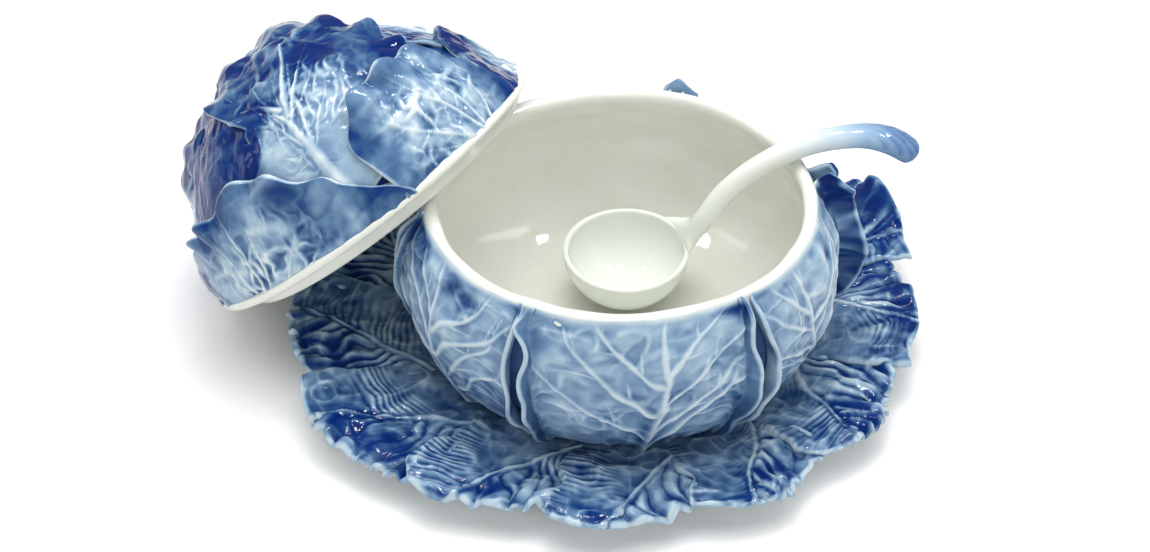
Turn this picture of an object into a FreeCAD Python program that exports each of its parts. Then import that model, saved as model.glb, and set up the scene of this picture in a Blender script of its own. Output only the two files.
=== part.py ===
import FreeCAD, Part
import math
import os

# Covered soup tureen in the shape of a cabbage: a leaf-edged stand, a deep bowl that
# sits in the stand's well, a ladle standing in the bowl, and a domed lid that lies off
# the bowl, leaning on the back of its rim with its lower edge on the table.
# Millimetres and degrees. +Z is up, the origin is the middle of the stand's foot on
# the table, +X is to the right and the front faces -Y.

Vector = FreeCAD.Vector
PART_FOLDER = "parts"
GLAZE_GAP = 0.05            # leaves lie this far off the clay they are luted to

# Stand
FOOT_RADIUS = 74.0
WELL_RADIUS = 80.0
WELL_HEIGHT = 9.0           # top of the well floor, where the bowl's foot stands
LEAF_ROOT_RADIUS = 86.0
LEAF_ROOT_HEIGHT = 9.6      # underside of the leaves at their root
DISH_RADIUS = 168.0
DISH_EDGE_HEIGHT = 17.6     # underside of the leaves over the dish's edge
DISH_THICKNESS = 5.5
LEAF_REACH = 236.0          # beyond the longest leaf tip
LEAF_REACH_HEIGHT = 25.5
STAND_LEAF_THICKNESS = 4.6
LOBES_PER_LEAF = 6
# azimuth, tip radius, half the angle that the leaf takes
STAND_LEAVES = [
    (7.5, 196, 15.6), (34.5, 217, 11.0), (62, 203, 16.0), (93, 199, 14.6),
    (123, 201, 15.0), (153, 203, 14.6), (184, 204, 16.0), (216.5, 203, 16.1),
    (246.5, 192, 13.5), (275.5, 191, 15.1), (303.5, 188, 12.5), (329.5, 185, 13.1),
]

# Bowl
BOWL_CENTRE = (6.0, -14.0)
FOOT_RING = (57.0, 63.0)    # inner and outer radius of the bowl's foot
FOOT_RECESS = 6.0           # height of the hollow inside the bowl's foot ring
RIM_HEIGHT = 131.5
RIM_INNER = 110.0
RIM_OUTER = 118.0
FLOOR_HEIGHT = 25.6
# radius and height along the outside of the wall, from the foot to under the rim
WALL_OUTSIDE = [(66, 13), (89, 21), (113, 42), (127, 64), (131, 88), (127.5, 106), (121, 120)]
# radius and height along the inside of the wall, from under the rim to the floor
WALL_INSIDE = [(112, 120), (118, 106), (121.5, 88), (117.5, 66), (105, 46), (83, 32), (52, 26.2)]
WALL_STEPS = 20             # points along the wall that its leaves follow
BOWL_LEAF_LOW = 20.0        # height of the leaves' lower edge
BOWL_LEAF_THICKNESS = 3.0
BOWL_LEAF_SPACE = 0.5       # degrees between neighbouring leaves
FIN_WIDTH = 1.3             # degrees
FIN_HEIGHTS = (26.0, 120.0)
# azimuth of each seam between two leaves, and how far the leaves' turned edges stand out
BOWL_SEAMS = [(10, 21), (72, 12), (130, 8), (185, 7), (242, 9), (311, 10)]

# Lid, in its own frame: the seat plane is at height 0 and the dome rises from it
LID_CENTRE = (-144.8, 60.8, 85.2)
LID_AXIS = (-0.606, 0.285, 0.742)
LID_EDGE_RADIUS = 124.4
LID_EDGE_HEIGHT = 5.0
FLANGE_OUTER = 105.6
FLANGE_INNER = 98.6
FLANGE_DEPTH = 9.7
DOME_OUTSIDE = (119.0, 108.0)   # radius at the seat and height at the crown
DOME_INSIDE = (109.5, 99.0)
DOME_INSIDE_START = 4.0     # angle above the seat plane where the flange meets the dome
LID_LEAF_THICKNESS = 3.5
LID_LEAF_SPACE = 0.8
# angle up the dome where the leaves start and end, how far the edge turns out, and
# the azimuth where each leaf of the ring starts
LOW_RING = (5.0, 31.0, 12.0, [-95, -22, 48, 122, 194])
TOP_RING = (33.0, 76.0, 9.0, [-25, 95, 215])
CROWN_START = 78.0
CROWN_THICKNESS = 5.0

# Ladle
LADLE_CENTRE = (11.0, 22.0)
CUP_RIM_HEIGHT = 62.0
CUP_OUTSIDE = (39.5, 35.4)  # radius and depth
CUP_INSIDE = (36.0, 32.0)
# distance out from the cup's middle, height, width and thickness of the handle
HANDLE_SECTIONS = [
    (37, 50, 17, 9), (41.5, 68, 15, 10), (47, 86, 13, 11), (60, 106.5, 13, 12),
    (78, 124.5, 13.5, 12.5), (99, 138.5, 14, 12.5), (122, 147, 15, 12.5),
    (145, 149.5, 18, 11.5), (161, 146, 20, 10), (171, 139.5, 14, 7),
]


def at(radius, azimuth, height=0.0):
    angle = math.radians(azimuth)
    return Vector(radius * math.cos(angle), radius * math.sin(angle), height)


def vectors(profile):
    return [Vector(radius, 0, height) for radius, height in profile]


def line(first, last):
    return Part.LineSegment(first, last).toShape()


def spline(points):
    curve = Part.BSplineCurve()
    curve.interpolate(points)
    return curve.toShape()


def polyline(points):
    return [line(first, last) for first, last in zip(points, points[1:])]


def turned(edges, start=0.0, sweep=360.0):
    """A profile in the XZ plane turned about Z."""
    face = Part.Face(Part.Wire(Part.__sortEdges__(edges)))
    face.rotate(Vector(), Vector(0, 0, 1), start)
    return face.revolve(Vector(), Vector(0, 0, 1), sweep)


def one_solid(shape):
    shape = shape.removeSplitter()
    solids = shape.Solids
    if len(solids) != 1 or not shape.isValid():
        raise ValueError("%d solids, valid %s" % (len(solids), shape.isValid()))
    solid = solids[0]
    if solid.Volume < 0:
        solid.reverse()
    return solid


def outside_wall(distance, low=0.0, high=RIM_HEIGHT):
    """Points off the outside of the bowl's wall, from the height low to the height high."""
    curve = Part.BSplineCurve()
    curve.interpolate(vectors(WALL_OUTSIDE))
    points = []
    for i in range(WALL_STEPS + 1):
        share = i / float(WALL_STEPS)
        where = curve.FirstParameter + share * (curve.LastParameter - curve.FirstParameter)
        on_wall = curve.value(where)
        run = curve.tangent(where)[0]
        if low <= on_wall.z <= high:
            points.append(on_wall + Vector(run.z, 0, -run.x) * distance)
    return points


# --- Stand -------------------------------------------------------------------------

def leaf_underside(radius):
    """Height of the stand leaves' underside: a shallow cone that flattens outwards."""
    if radius < DISH_RADIUS:
        share = (radius - LEAF_ROOT_RADIUS) / (DISH_RADIUS - LEAF_ROOT_RADIUS)
        return LEAF_ROOT_HEIGHT + share * (DISH_EDGE_HEIGHT - LEAF_ROOT_HEIGHT)
    share = (radius - DISH_RADIUS) / (LEAF_REACH - DISH_RADIUS)
    return DISH_EDGE_HEIGHT + share * (LEAF_REACH_HEIGHT - DISH_EDGE_HEIGHT)


def stand_dish():
    edge = DISH_EDGE_HEIGHT - GLAZE_GAP
    profile = [
        (0, 0), (FOOT_RADIUS, 0), (FOOT_RADIUS + 4, 3.5), (DISH_RADIUS - 15, edge - DISH_THICKNESS - 1),
        (DISH_RADIUS, edge - DISH_THICKNESS + 2), (DISH_RADIUS, edge),
        (LEAF_ROOT_RADIUS, LEAF_ROOT_HEIGHT - GLAZE_GAP), (WELL_RADIUS, WELL_HEIGHT), (0, WELL_HEIGHT),
    ]
    points = vectors(profile)
    return one_solid(turned(polyline(points + points[:1])))


def leaf_layer():
    """The layer that every stand leaf is cut from."""
    radii = [LEAF_ROOT_RADIUS, DISH_RADIUS, LEAF_REACH]
    below = [(radius, leaf_underside(radius)) for radius in radii]
    above = [(radius, height + STAND_LEAF_THICKNESS) for radius, height in reversed(below)]
    above[-1] = (LEAF_ROOT_RADIUS, below[0][1] + STAND_LEAF_THICKNESS / 2)
    points = vectors(below + above)
    return turned(polyline(points + points[:1]))


def stand_leaf(azimuth, tip_radius, half_angle, layer):
    """A leaf with a straight root, straight sides and a lobed outer edge."""
    spread = half_angle - 0.15
    corners = []
    for i in range(LOBES_PER_LEAF + 1):
        turn = spread * (2.0 * i / LOBES_PER_LEAF - 1)
        corners.append((tip_radius * (0.975 - 0.085 * (turn / spread) ** 2), azimuth + turn))
    edges = []
    for (radius_a, azimuth_a), (radius_b, azimuth_b) in zip(corners, corners[1:]):
        middle = at((radius_a + radius_b) / 2 + 5.0, (azimuth_a + azimuth_b) / 2)
        edges.append(Part.Arc(at(radius_a, azimuth_a), middle, at(radius_b, azimuth_b)).toShape())
    root_left = at(LEAF_ROOT_RADIUS - 1, azimuth + spread)
    root_right = at(LEAF_ROOT_RADIUS - 1, azimuth - spread)
    edges.append(line(at(*corners[-1]), root_left))
    edges.append(line(root_left, root_right))
    edges.append(line(root_right, at(*corners[0])))
    outline = Part.Face(Part.Wire(edges))
    prism = outline.extrude(Vector(0, 0, 2 * LEAF_REACH_HEIGHT))
    return one_solid(layer.common(prism))


# --- Bowl --------------------------------------------------------------------------

def on_bowl_axis(solid):
    solid.translate(Vector(BOWL_CENTRE[0], BOWL_CENTRE[1], 0))
    return solid


def bowl_wall():
    """Foot ring, round belly, rolled rim and smooth inside."""
    foot_top = WELL_HEIGHT + FOOT_RECESS
    outside = vectors(WALL_OUTSIDE)
    inside = vectors(WALL_INSIDE)
    rim_low = RIM_HEIGHT - (RIM_OUTER - RIM_INNER) / 2
    rim_out = Vector(RIM_OUTER, 0, rim_low)
    rim_in = Vector(RIM_INNER, 0, rim_low)
    rim_top = Vector((RIM_OUTER + RIM_INNER) / 2, 0, RIM_HEIGHT)
    foot = vectors([
        (0, foot_top), (FOOT_RING[0] - 1, foot_top), (FOOT_RING[0], WELL_HEIGHT),
        (FOOT_RING[1], WELL_HEIGHT), WALL_OUTSIDE[0],
    ])
    floor_middle = Vector(0, 0, FLOOR_HEIGHT)
    edges = polyline(foot)
    edges += [spline(outside), line(outside[-1], rim_out)]
    edges += [Part.Arc(rim_out, rim_top, rim_in).toShape(), line(rim_in, inside[0])]
    edges += [spline(inside), line(inside[-1], floor_middle), line(floor_middle, foot[0])]
    return on_bowl_axis(one_solid(turned(edges)))


def turned_edge(start, stand_out):
    """A leaf's edge where it turns away from the bowl as an upright fin."""
    root = outside_wall(BOWL_LEAF_THICKNESS - 1, *FIN_HEIGHTS)
    crest = outside_wall(BOWL_LEAF_THICKNESS, *FIN_HEIGHTS)
    last = len(crest) - 1
    for i, point in enumerate(crest):
        point.x += stand_out * (0.7 + 0.3 * math.sin(math.pi * i / last))
    edges = [spline(root), line(root[-1], crest[-1]), spline(crest[::-1]), line(crest[0], root[0])]
    return turned(edges, start, FIN_WIDTH)


def bowl_leaf(seam, next_seam):
    """A leaf that wraps the belly from one seam to the next, with both edges turned out."""
    start = seam[0] + BOWL_LEAF_SPACE / 2
    end = next_seam[0] - BOWL_LEAF_SPACE / 2
    under = outside_wall(GLAZE_GAP, BOWL_LEAF_LOW)
    over = outside_wall(BOWL_LEAF_THICKNESS, BOWL_LEAF_LOW)
    edges = [spline(under), line(under[-1], over[-1]), spline(over[::-1]), line(over[0], under[0])]
    skin = turned(edges, start, (end - start) % 360)
    fins = [turned_edge(start, seam[1]), turned_edge(end - FIN_WIDTH, next_seam[1])]
    return on_bowl_axis(one_solid(skin.fuse(fins)))


# --- Lid ---------------------------------------------------------------------------

def on_lid_axis(solid):
    """Take a solid from the lid's own frame to where the lid leans."""
    up = Vector(*LID_AXIS).normalize()
    level = Vector(0, 0, 1).cross(up).normalize()
    slope = up.cross(level)
    centre = Vector(*LID_CENTRE)
    matrix = FreeCAD.Matrix(
        level.x, slope.x, up.x, centre.x,
        level.y, slope.y, up.y, centre.y,
        level.z, slope.z, up.z, centre.z,
        0, 0, 0, 1)
    solid.Placement = FreeCAD.Placement(matrix).multiply(solid.Placement)
    return solid


def dome(size, start, end, thickness=0.0, count=5):
    """Points on an elliptical dome between two angles above the seat plane."""
    points = []
    for i in range(count):
        angle = math.radians(start + (end - start) * i / (count - 1.0))
        points.append(Vector(
            (size[0] + thickness) * math.cos(angle), 0, (size[1] + thickness) * math.sin(angle)))
    return points


def lid_shell():
    """The dome with its seat ledge and the flange that drops inside the bowl's rim."""
    outside = dome(DOME_OUTSIDE, LOW_RING[0], 90.0, count=7)
    inside = dome(DOME_INSIDE, 90.0, DOME_INSIDE_START, count=7)
    ledge = vectors([
        (FLANGE_INNER, 0), (FLANGE_INNER, -FLANGE_DEPTH), (FLANGE_OUTER, -FLANGE_DEPTH),
        (FLANGE_OUTER, 0), (LID_EDGE_RADIUS, 0), (LID_EDGE_RADIUS, LID_EDGE_HEIGHT),
    ])
    edges = polyline(ledge + outside[:1])
    edges += [spline(outside), line(outside[-1], inside[0]), spline(inside)]
    edges.append(line(inside[-1], ledge[0]))
    return on_lid_axis(one_solid(turned(edges)))


def lid_leaf(ring, start, next_start):
    """A leaf that wraps part of the dome, thick at the root, its upper edge turned out."""
    low, high, flare, _ = ring
    under = dome(DOME_OUTSIDE, low + 0.5, high, GLAZE_GAP)
    over = dome(DOME_OUTSIDE, low + 0.5, high - 5, LID_LEAF_THICKNESS)
    lip = dome(DOME_OUTSIDE, high + 1.5, high + 2, LID_LEAF_THICKNESS + flare, 2)[0]
    edges = [spline(under), line(under[-1], lip), line(lip, over[-1])]
    edges += [spline(over[::-1]), line(over[0], under[0])]
    sweep = (next_start - start) % 360 - LID_LEAF_SPACE
    return on_lid_axis(one_solid(turned(edges, start, sweep)))


def lid_crown():
    """The small leaf that closes over the top of the dome."""
    under = dome(DOME_OUTSIDE, CROWN_START, 90, GLAZE_GAP, 3)
    over = dome(DOME_OUTSIDE, CROWN_START, 90, CROWN_THICKNESS, 3)
    edges = [spline(under), line(under[-1], over[-1]), spline(over[::-1]), line(over[0], under[0])]
    return on_lid_axis(one_solid(turned(edges)))


# --- Ladle -------------------------------------------------------------------------

def on_ladle_axis(solid):
    solid.translate(Vector(LADLE_CENTRE[0], LADLE_CENTRE[1], 0))
    return solid


def cup_curve(size):
    """The cup's section from its rim down to its lowest point."""
    points = [
        Vector(size[0] * math.cos(math.radians(angle)), 0,
               CUP_RIM_HEIGHT - size[1] * math.sin(math.radians(angle)))
        for angle in range(0, 91, 15)
    ]
    return points


def ladle_cup():
    outside = cup_curve(CUP_OUTSIDE)
    inside = cup_curve(CUP_INSIDE)
    rim = Vector((CUP_OUTSIDE[0] + CUP_INSIDE[0]) / 2, 0, CUP_RIM_HEIGHT + 1.5)
    edges = [spline(outside), line(outside[-1], inside[-1]), spline(inside[::-1])]
    edges.append(Part.Arc(inside[0], rim, outside[0]).toShape())
    return on_ladle_axis(one_solid(turned(edges)))


def handle_section(i):
    """An elliptical section of the handle, square to its line."""
    out, height, width, thickness = HANDLE_SECTIONS[i]
    before = HANDLE_SECTIONS[max(i - 1, 0)]
    after = HANDLE_SECTIONS[min(i + 1, len(HANDLE_SECTIONS) - 1)]
    run = Vector(after[0] - before[0], 0, after[1] - before[1]).normalize()
    side = Vector(0, 1, 0)
    centre = Vector(out, 0, height)
    across = run.cross(side)
    ellipse = Part.Ellipse(centre + side * (width / 2.0), centre + across * (thickness / 2.0), centre)
    return Part.Wire(ellipse.toShape())


def ladle_handle():
    """The rising handle, which ends in a flattened leaf-shaped knob; its root meets the cup."""
    loft = Part.makeLoft([handle_section(i) for i in range(len(HANDLE_SECTIONS))], True, False)
    size = (CUP_OUTSIDE[0] + GLAZE_GAP, CUP_OUTSIDE[1] + GLAZE_GAP)
    curve = cup_curve(size)
    top = Vector(0, 0, CUP_RIM_HEIGHT + 2)
    rim = Vector(size[0], 0, CUP_RIM_HEIGHT + 2)
    filled_cup = turned([spline(curve), line(curve[-1], top), line(top, rim), line(rim, curve[0])])
    return on_ladle_axis(one_solid(loft.cut(filled_cup)))


def sub_parts():
    """Every node's name and solid."""
    layer = leaf_layer()
    yield "stand_dish", stand_dish()
    for number, (azimuth, tip_radius, half_angle) in enumerate(STAND_LEAVES, 1):
        yield "stand_leaf_%02d" % number, stand_leaf(azimuth, tip_radius, half_angle, layer)
    yield "bowl_wall", bowl_wall()
    for number, seam in enumerate(BOWL_SEAMS, 1):
        yield "bowl_leaf_%02d" % number, bowl_leaf(seam, BOWL_SEAMS[number % len(BOWL_SEAMS)])
    yield "lid_shell", lid_shell()
    for name, ring in (("low", LOW_RING), ("top", TOP_RING)):
        starts = ring[3]
        for number, start in enumerate(starts, 1):
            leaf = lid_leaf(ring, start, starts[number % len(starts)])
            yield "lid_%s_leaf_%02d" % (name, number), leaf
    yield "lid_crown_leaf", lid_crown()
    yield "ladle_cup", ladle_cup()
    yield "ladle_handle", ladle_handle()


os.makedirs(PART_FOLDER, exist_ok=True)
for name, solid in sub_parts():
    solid.exportStep(os.path.join(PART_FOLDER, name + ".step"))
    print("%-20s %9.0f mm3  %s" % (name, solid.Volume, solid.BoundBox))
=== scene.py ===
import itertools
import math

import bpy
import numpy as np
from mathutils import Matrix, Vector


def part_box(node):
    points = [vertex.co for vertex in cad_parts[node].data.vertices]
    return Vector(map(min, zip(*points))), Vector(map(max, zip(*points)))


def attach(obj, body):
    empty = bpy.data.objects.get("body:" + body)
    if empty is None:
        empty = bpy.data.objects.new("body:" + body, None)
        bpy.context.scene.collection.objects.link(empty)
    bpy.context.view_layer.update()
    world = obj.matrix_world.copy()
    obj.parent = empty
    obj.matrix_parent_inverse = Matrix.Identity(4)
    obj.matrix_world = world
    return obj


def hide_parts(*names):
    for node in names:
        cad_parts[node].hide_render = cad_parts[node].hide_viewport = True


# Glazed cabbage-leaf tureen: leaf stand, bowl, ladle and leaning lid. Lengths are in
# millimetres and angles in degrees until a mesh is made.

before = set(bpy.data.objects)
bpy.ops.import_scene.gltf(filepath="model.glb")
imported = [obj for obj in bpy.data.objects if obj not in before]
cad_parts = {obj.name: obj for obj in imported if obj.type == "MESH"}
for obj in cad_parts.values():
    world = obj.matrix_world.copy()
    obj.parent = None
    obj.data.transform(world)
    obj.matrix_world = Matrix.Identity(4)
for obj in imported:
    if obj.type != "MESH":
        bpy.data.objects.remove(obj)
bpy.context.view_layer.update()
scene = bpy.context.scene

# --- Numbers shared with the CAD model ---

BOWL_CENTRE = np.array([6.0, -14.0, 0.0])
WALL_OUTSIDE = [(66, 13), (89, 21), (113, 42), (127, 64), (131, 88), (127.5, 106), (121, 120)]
WALL_INSIDE = [(112, 120), (118, 106), (121.5, 88), (117.5, 66), (105, 46), (83, 32), (52, 26.2)]
LID_CENTRE = np.array([-144.8, 60.8, 85.2])
LID_AXIS = np.array([-0.606, 0.285, 0.742])
DOME = np.array([119.0, 119.0, 108.0])
STAND_LEAVES = [
    (7.5, 196, 15.6), (34.5, 217, 11.0), (62, 203, 16.0), (93, 199, 14.6),
    (123, 201, 15.0), (153, 203, 14.6), (184, 204, 16.0), (216.5, 203, 16.1),
    (246.5, 192, 13.5), (275.5, 191, 15.1), (303.5, 188, 12.5), (329.5, 185, 13.1),
]

# Numbers of the visible leaves
STAND_LEAF_THICKNESS = 3.8
BOWL_LEAF_THICKNESS = 3.0
LID_LEAF_THICKNESS = 3.0
BELLY_RADIUS = 128.0    # where a degree round the bowl is measured
DOME_DEGREE = 2.03      # length of one degree on the lid's dome
GROOVE_REACH = 1.6      # how far glaze runs into a narrow groove
HOLLOW_REACH = 6.0      # and into a wide hollow


# --- Number helpers ---

def ease(value, low, high):
    """A smooth step from 0 at low to 1 at high."""
    share = np.clip((value - low) / (high - low), 0, 1)
    return share * share * (3 - 2 * share)


def unit(vectors):
    """The vectors at length 1."""
    return vectors / np.maximum(np.linalg.norm(vectors, axis=-1, keepdims=True), 1e-9)


def hashed(i, j, k, seed):
    """A repeatable random number from 0 to 1 for each whole-number place."""
    n = (i * 374761393 + j * 668265263 + k * 1442695041 + seed * 1013904223) & 0xFFFFFFFF
    n = ((n ^ (n >> 15)) * 2246822519) & 0xFFFFFFFF
    n = ((n ^ (n >> 13)) * 3266489917) & 0xFFFFFFFF
    return (n ^ (n >> 16)) / 4294967295.0


def noise(points, size, seed):
    """Smooth noise from -1 to 1 with lumps of the given size."""
    place = points / size
    cell = np.floor(place).astype(np.int64)
    part = place - cell
    part *= part * (3 - 2 * part)
    total = 0
    for i, j, k in itertools.product((0, 1), repeat=3):
        weight = np.abs(1 - i - part[..., 0]) * np.abs(1 - j - part[..., 1]) * np.abs(1 - k - part[..., 2])
        total += weight * hashed(cell[..., 0] + i, cell[..., 1] + j, cell[..., 2] + k, seed)
    return 2 * total - 1


def layered(points, size, layers, seed):
    """Noise whose lumps carry ever finer lumps."""
    return sum(noise(points, size / 2 ** i, seed + i) / 2 ** i for i in range(layers))


def flat(x, y):
    """Points (x, y, 0)."""
    return np.stack(np.broadcast_arrays(x, y, 0.0), axis=-1)


def net(x, y, size, seed):
    """0 along the lines of a random net, about 1 in the middle of its meshes."""
    first = np.full(x.shape, 9.0)
    second = np.full(x.shape, 9.0)
    column, row = np.floor(x / size).astype(np.int64), np.floor(y / size).astype(np.int64)
    for i, j in itertools.product((-1, 0, 1), repeat=2):
        a, b = column + i, row + j
        away = np.hypot(x / size - a - hashed(a, b, 0, seed), y / size - b - hashed(a, b, 1, seed))
        second = np.minimum(second, np.maximum(first, away))
        first = np.minimum(first, away)
    return second - first


def blurred(values, cells):
    """Values of a grid averaged over their neighbours up to some cells away, twice."""
    for axis in (0, 1, 0, 1):
        pad = [(0, 0), (0, 0)]
        pad[axis] = (cells + 1, cells)
        total = np.cumsum(np.pad(values, pad, mode="edge"), axis=axis)
        size = values.shape[axis]
        high = np.take(total, range(2 * cells + 1, 2 * cells + 1 + size), axis)
        values = (high - np.take(total, range(size), axis)) / (2 * cells + 1)
    return values


def smooth_path(points, count):
    """Evenly spaced points on a smooth curve through the given points."""
    knots = np.array(points, float)
    steps = np.r_[0, np.cumsum(np.sqrt(np.linalg.norm(np.diff(knots, axis=0), axis=1)))]
    tangents = np.gradient(knots, steps, axis=0)
    where = np.linspace(0, steps[-1], 40 * len(knots))
    i = np.clip(np.searchsorted(steps, where, side="right") - 1, 0, len(knots) - 2)
    width = (steps[i + 1] - steps[i])[:, None]
    f = (where - steps[i])[:, None] / width
    dense = ((2 * f ** 3 - 3 * f ** 2 + 1) * knots[i] + (f ** 3 - 2 * f ** 2 + f) * width * tangents[i]
             + (3 * f ** 2 - 2 * f ** 3) * knots[i + 1] + (f ** 3 - f ** 2) * width * tangents[i + 1])
    length = np.r_[0, np.cumsum(np.linalg.norm(np.diff(dense, axis=0), axis=1))]
    even = np.linspace(0, length[-1], count)
    return np.stack([np.interp(even, length, dense[:, k]) for k in range(dense.shape[1])], axis=1)


def spread(low, high, size, cell):
    """Even steps of about one cell, with finer steps at both ends for a rounded edge."""
    count = max(int(size / cell), 6)
    steps = np.linspace(0, 1, count + 1)
    fine = np.array([0.1, 0.3, 0.6]) / count
    return low + (high - low) * np.sort(np.r_[steps, fine, 1 - fine])


def around(values, angle, end):
    """Smoothly read given values that are evenly spaced from 0 to an end in degrees."""
    knots = np.linspace(0, end, len(values))
    path = smooth_path(np.stack([knots, np.array(values) * 100.0], axis=1), 500)
    return np.interp(angle, path[:, 0], path[:, 1]) / 100.0


# --- Veins ---

def vein(start, heading, reach, bend, width, steps):
    """Points (x, y, half width) of a vein. A heading of 0 is up the leaf, 90 is right."""
    x, y = start
    points = []
    for i in range(steps + 1):
        share = i / steps
        points.append((x, y, width * (1 - 0.7 * share)))
        angle = math.radians(heading + bend * share)
        x += math.sin(angle) * reach / steps
        y += math.cos(angle) * reach / steps
    return points


def fan(seed, root, heading, opening, count, reach, width):
    """Main veins that spread from a leaf's root, each with twigs on both sides."""
    rng = np.random.default_rng(seed)
    paths = []
    for k in range(count):
        share = 2.0 * k / (count - 1) - 1
        main_heading = heading + opening * share + rng.uniform(-5, 5)
        length = reach * (1 - 0.3 * abs(share)) * rng.uniform(0.85, 1.1)
        main_width = width * (1 - 0.4 * abs(share)) * rng.uniform(0.85, 1.1)
        main = vein(root, main_heading, length, -22 * share + rng.uniform(-18, 18), main_width, 12)
        paths.append(main)
        side = 1 if rng.random() < 0.5 else -1
        for step in range(4, 11):
            side = -side
            x, y, at_width = main[step]
            if rng.random() < 0.7:
                paths.append(vein((x, y), main_heading + side * rng.uniform(25, 60),
                                  length * rng.uniform(0.12, 0.30), side * rng.uniform(-45, 25),
                                  at_width * rng.uniform(0.5, 0.85), 6))
    return paths


def feather(seed, midrib, opening, count, reach, width):
    """Side veins that leave a midrib in turn to the left and right and curve upwards."""
    rng = np.random.default_rng(seed)
    paths = [midrib]
    for k in range(count):
        side = -1 if k % 2 else 1
        step = 1 + int((len(midrib) - 5) * k / count)
        x, y, _ = midrib[step]
        length = reach * (1 - 0.45 * k / count) * rng.uniform(0.85, 1.1)
        heading = side * opening * rng.uniform(0.85, 1.15)
        branch = vein((x, y), heading, length, -side * rng.uniform(8, 30), width * rng.uniform(0.8, 1.1), 12)
        paths.append(branch)
        for twig in range(3, 10, 3):
            bx, by, bw = branch[twig]
            turn = (1 if twig % 2 else -1) * rng.uniform(30, 60)
            twig_length = length * rng.uniform(0.15, 0.32)
            paths.append(vein((bx, by), heading + turn, twig_length, -turn * 0.3, bw * 0.7, 6))
    return paths


def ridges(x, y, paths):
    """Height of the veins: round ridges that thin out towards their tips."""
    height = np.zeros_like(x)
    for path in paths:
        for (ax, ay, aw), (bx, by, bw) in zip(path, path[1:]):
            dx, dy = bx - ax, by - ay
            share = np.clip(((x - ax) * dx + (y - ay) * dy) / (dx * dx + dy * dy), 0, 1)
            width = aw + (bw - aw) * share
            away = (x - ax - share * dx) ** 2 + (y - ay - share * dy) ** 2
            height = np.maximum(height, 0.75 * width * np.exp(-away / width ** 2))
    return height


def crinkle(x, y, root, size, seed):
    """Pits in a net of fine veins drawn out away from the leaf's root, deep only in places."""
    warp_x = x + 0.45 * size * layered(flat(x, y), size * 1.2, 2, seed + 5)
    warp_y = y + 0.45 * size * layered(flat(x, y), size * 1.2, 2, seed + 9)
    away = np.hypot(warp_x - root[0], warp_y - root[1])
    bearing = np.arctan2(warp_x - root[0], warp_y - root[1])
    mesh = net(bearing * (22 + 0.55 * away), away * 0.55, size, seed)
    depth = 0.15 + 0.85 * ease(noise(flat(x, y), size * 1.7, seed + 3), -0.25, 0.6)
    return -depth * ease(mesh, 0.03, 0.45)


def creases(x, y, size, seed):
    """Soft folds with rounded crests."""
    first = 1 - np.abs(noise(flat(x, y), size, seed))
    second = 1 - np.abs(noise(flat(x + 31, y), size * 0.55, seed + 1))
    return first ** 3 + 0.45 * second ** 3


# --- Meshes ---

def make_mesh(name, points, faces, glaze):
    """A smooth piece from points in millimetres, with how thick the glaze is at each; in places this value
    also carries painted shade.
    """
    mesh = bpy.data.meshes.new(name)
    mesh.from_pydata((points * 0.001).tolist(), [], faces)
    thickness = mesh.attributes.new("glaze", "FLOAT", "POINT")
    thickness.data.foreach_set("value", glaze.astype(np.float32))
    mesh.shade_smooth()
    mesh.validate()
    piece = bpy.data.objects.new(name, mesh)
    scene.collection.objects.link(piece)
    return piece


def edge_distance(surface):
    """Distance of each point of a grid from the nearest of its four sides."""
    nearest = np.inf
    for axis in (0, 1):
        steps = np.linalg.norm(np.diff(surface, axis=axis), axis=-1)
        pad = [(0, 0), (0, 0)]
        pad[axis] = (1, 0)
        run = np.pad(np.cumsum(steps, axis=axis), pad)
        total = np.take(run, [-1], axis)
        nearest = np.minimum(nearest, np.minimum(run, total - run))
    return nearest


def sheet(name, surface, thickness, relief, over, under, facing=1):
    """A closed leaf of clay about a grid of points: relief on its upper side and round edges."""
    rows, cols = surface.shape[:2]
    normal = facing * unit(np.cross(np.gradient(surface, axis=1), np.gradient(surface, axis=0)))
    away = edge_distance(surface)
    share = np.clip(away / (0.5 * thickness + 0.3), 0, 1)
    half = 0.5 * thickness * np.sqrt(1 - (1 - share) ** 2)
    top = surface + normal * (half + relief * ease(away, 0, 2.5))[..., None]
    bottom = surface - normal * half[..., None]
    index = np.arange(rows * cols).reshape(rows, cols)
    below = index.copy()
    below[1:-1, 1:-1] = rows * cols + np.arange((rows - 2) * (cols - 2)).reshape(rows - 2, cols - 2)
    points = np.concatenate([top.reshape(-1, 3), bottom[1:-1, 1:-1].reshape(-1, 3)])
    glaze = np.concatenate([over.ravel(), np.broadcast_to(under, over.shape)[1:-1, 1:-1].ravel()])
    faces = []
    for grid, order in ((index, facing), (below, -facing)):
        quads = np.stack([grid[:-1, :-1], grid[:-1, 1:], grid[1:, 1:], grid[1:, :-1]], axis=-1)
        faces.append(quads.reshape(-1, 4)[:, ::order])
    return make_mesh(name, points, np.concatenate(faces).tolist(), glaze)


def closed_tube(name, rings, tips, glaze, facing=1):
    """A closed body through rings of points, shut around a tip at each end."""
    rows, sides = rings.shape[:2]
    index = np.arange(rows * sides).reshape(rows, sides)
    beside = np.roll(index, -1, axis=1)
    quads = np.stack([index[:-1], beside[:-1], beside[1:], index[1:]], axis=-1)
    faces = quads.reshape(-1, 4).tolist()
    faces += [[rows * sides, b, a] for a, b in zip(index[0], beside[0])]
    faces += [[rows * sides + 1, a, b] for a, b in zip(index[-1], beside[-1])]
    if facing < 0:
        faces = [face[:1] + face[:0:-1] for face in faces]
    return make_mesh(name, np.concatenate([rings.reshape(-1, 3), np.stack(tips)]), faces, glaze)


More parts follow.
